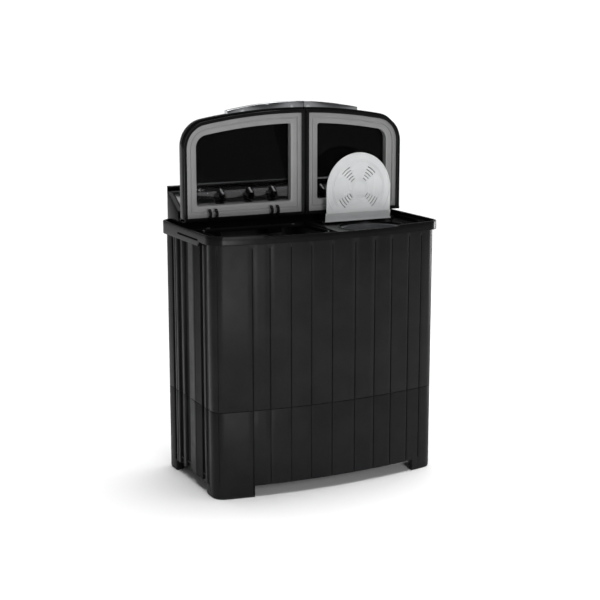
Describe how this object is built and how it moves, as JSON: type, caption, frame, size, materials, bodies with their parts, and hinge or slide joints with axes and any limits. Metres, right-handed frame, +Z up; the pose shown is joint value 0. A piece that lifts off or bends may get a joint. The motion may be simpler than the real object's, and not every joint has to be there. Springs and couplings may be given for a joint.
{
  "type": "twin tub washing machine",
  "caption": "Free-standing portable twin tub washing machine with bowed planked cabinet, two hinged window lids, knob panel, wash tub with pulsator and spin basket with hinged cover.",
  "frame": {"origin": "centre of the footprint on the floor", "axes": "+X to the machine's right as its user sees it, front towards -Y, +Z up"},
  "size_m": [0.74, 0.433, 1.1093],
  "materials": {
    "cabinet_plastic": "satin",
    "base_plastic": "satin",
    "pad_rubber": "matte",
    "deck_plastic": "satin",
    "fascia": "gloss",
    "screw_steel": "satin",
    "inlet_plastic": "satin",
    "gland_rubber": "matte",
    "tub_plastic": "satin",
    "filter_plastic": "satin",
    "cast_metal": "satin",
    "shaft_steel": "satin",
    "motor_paint": "satin",
    "bracket_steel": "satin",
    "belt_rubber": "matte",
    "basket_steel": "satin",
    "ring_plastic": "satin",
    "electric_plastic": "satin",
    "drain_plastic": "satin",
    "knob_plastic": "gloss",
    "lid_plastic": "satin",
    "liner_plastic": "satin",
    "smoked_window": "gloss",
    "chrome_strip": "polished",
    "cover_plastic": "satin"
  },
  "bodies": {
    "cabinet": {"cabinet_shell": "cabinet_plastic", "base_frame": "base_plastic", "foot_pads": "pad_rubber", "bottom_cover": "base_plastic", "top_deck": "deck_plastic", "control_panel": "deck_plastic", "panel_fascia": "fascia", "rear_cover": "deck_plastic", "cover_screws": "screw_steel", "lid_hinge_pins": "screw_steel", "water_inlets": "inlet_plastic", "cord_gland": "gland_rubber", "wash_tub": "tub_plastic", "overflow_channel": "tub_plastic", "wash_bearing_housing": "cast_metal", "wash_motor": "motor_paint", "motor_bracket": "bracket_steel", "drive_belt": "belt_rubber", "spin_tub": "tub_plastic", "bellows_seal": "gland_rubber", "brake_bracket": "bracket_steel", "spin_motor": "motor_paint", "motor_springs": "belt_rubber", "capacitors": "electric_plastic", "drain_valve": "drain_plastic", "drain_outlet": "drain_plastic", "wash_timer": "electric_plastic", "wash_switch": "electric_plastic", "drain_cam": "electric_plastic", "spin_timer": "electric_plastic", "lid_switch": "electric_plastic"},
    "wash_lid": {"wash_lid_shell": "lid_plastic", "wash_lid_liner": "liner_plastic", "wash_lid_window": "smoked_window", "wash_lid_trim": "chrome_strip"},
    "spin_lid": {"spin_lid_shell": "lid_plastic", "spin_lid_liner": "liner_plastic", "spin_lid_window": "smoked_window", "spin_lid_trim": "chrome_strip"},
    "spin_cover": {"spin_cover": "cover_plastic"},
    "wash_timer_knob": {"wash_timer_knob": "knob_plastic"},
    "wash_mode_knob": {"wash_mode_knob": "knob_plastic"},
    "drain_knob": {"drain_knob": "knob_plastic"},
    "spin_timer_knob": {"spin_timer_knob": "knob_plastic"},
    "pulsator_rotor": {"pulsator": "filter_plastic", "pulsator_shaft": "shaft_steel", "pulsator_screw": "screw_steel", "wash_pulley": "cast_metal"},
    "motor_rotor": {"motor_pulley": "cast_metal"},
    "spin_rotor": {"spin_basket": "basket_steel", "balance_ring": "ring_plastic", "spin_shaft": "shaft_steel", "brake_drum": "cast_metal"},
    "brake_lever": {"brake_lever": "bracket_steel"},
    "drain_plunger": {"drain_plunger": "gland_rubber"},
    "lint_filter": {"lint_filter": "filter_plastic"}
  },
  "joints": [
    {"name": "wash_lid_hinge", "type": "hinge", "parent": "cabinet", "child": "wash_lid", "pos_m": [0, 0.0888, 0.7962], "axis": [1, 0, 0], "range_deg": [0, 90]},
    {"name": "spin_lid_hinge", "type": "hinge", "parent": "cabinet", "child": "spin_lid", "pos_m": [0, 0.0888, 0.7962], "axis": [1, 0, 0], "range_deg": [0, 90]},
    {"name": "spin_cover_hinge", "type": "hinge", "parent": "cabinet", "child": "spin_cover", "pos_m": [0.1975, 0.02249, 0.75], "axis": [1, 0, 0], "range_deg": [0, 90]},
    {"name": "wash_timer_turn", "type": "hinge", "parent": "cabinet", "child": "wash_timer_knob", "pos_m": [-0.194, 0.1595, 0.8235], "axis": [0, -0.5203, 0.854], "range_deg": [-330, 0]},
    {"name": "wash_mode_turn", "type": "hinge", "parent": "cabinet", "child": "wash_mode_knob", "pos_m": [-0.102, 0.1595, 0.8235], "axis": [0, -0.5203, 0.854], "range_deg": [-90, 0]},
    {"name": "drain_knob_turn", "type": "hinge", "parent": "cabinet", "child": "drain_knob", "pos_m": [-0.027, 0.1595, 0.8235], "axis": [0, -0.5203, 0.854], "range_deg": [-90, 0]},
    {"name": "spin_timer_turn", "type": "hinge", "parent": "cabinet", "child": "spin_timer_knob", "pos_m": [0.143, 0.1595, 0.8235], "axis": [0, -0.5203, 0.854], "range_deg": [-330, 0]},
    {"name": "pulsator_turn", "type": "hinge", "parent": "cabinet", "child": "pulsator_rotor", "pos_m": [-0.153, -0.02212, 0.384], "axis": [0, 0, 1], "continuous": true},
    {"name": "motor_pulley_turn", "type": "hinge", "parent": "cabinet", "child": "motor_rotor", "pos_m": [-0.018, 0.08788, 0.32], "axis": [0, 0, 1], "continuous": true},
    {"name": "spin_basket_turn", "type": "hinge", "parent": "cabinet", "child": "spin_rotor", "pos_m": [0.1975, -0.07251, 0.3], "axis": [0, 0, 1], "continuous": true},
    {"name": "brake_lever_swing", "type": "hinge", "parent": "cabinet", "child": "brake_lever", "pos_m": [0.24314, -0.01812, 0.25], "axis": [0, 0, 1], "range_deg": [-9, 0]},
    {"name": "drain_plunger_lift", "type": "slide", "parent": "cabinet", "child": "drain_plunger", "axis": [0, 0, 1], "range_m": [0, 0.012]},
    {"name": "lint_filter_lift", "type": "slide", "parent": "cabinet", "child": "lint_filter", "axis": [0, 0, -1], "range_m": [-0.24, 0]}
  ],
  "couplings": [
    {"joint": "spin_cover_hinge", "follows": "spin_lid_hinge", "ratio": 1},
    {"joint": "brake_lever_swing", "follows": "spin_lid_hinge", "ratio": -0.1},
    {"joint": "motor_pulley_turn", "follows": "pulsator_turn", "ratio": 4.7059},
    {"joint": "drain_knob_turn", "follows": "drain_plunger_lift", "rad_per_m": -130.89}
  ]
}
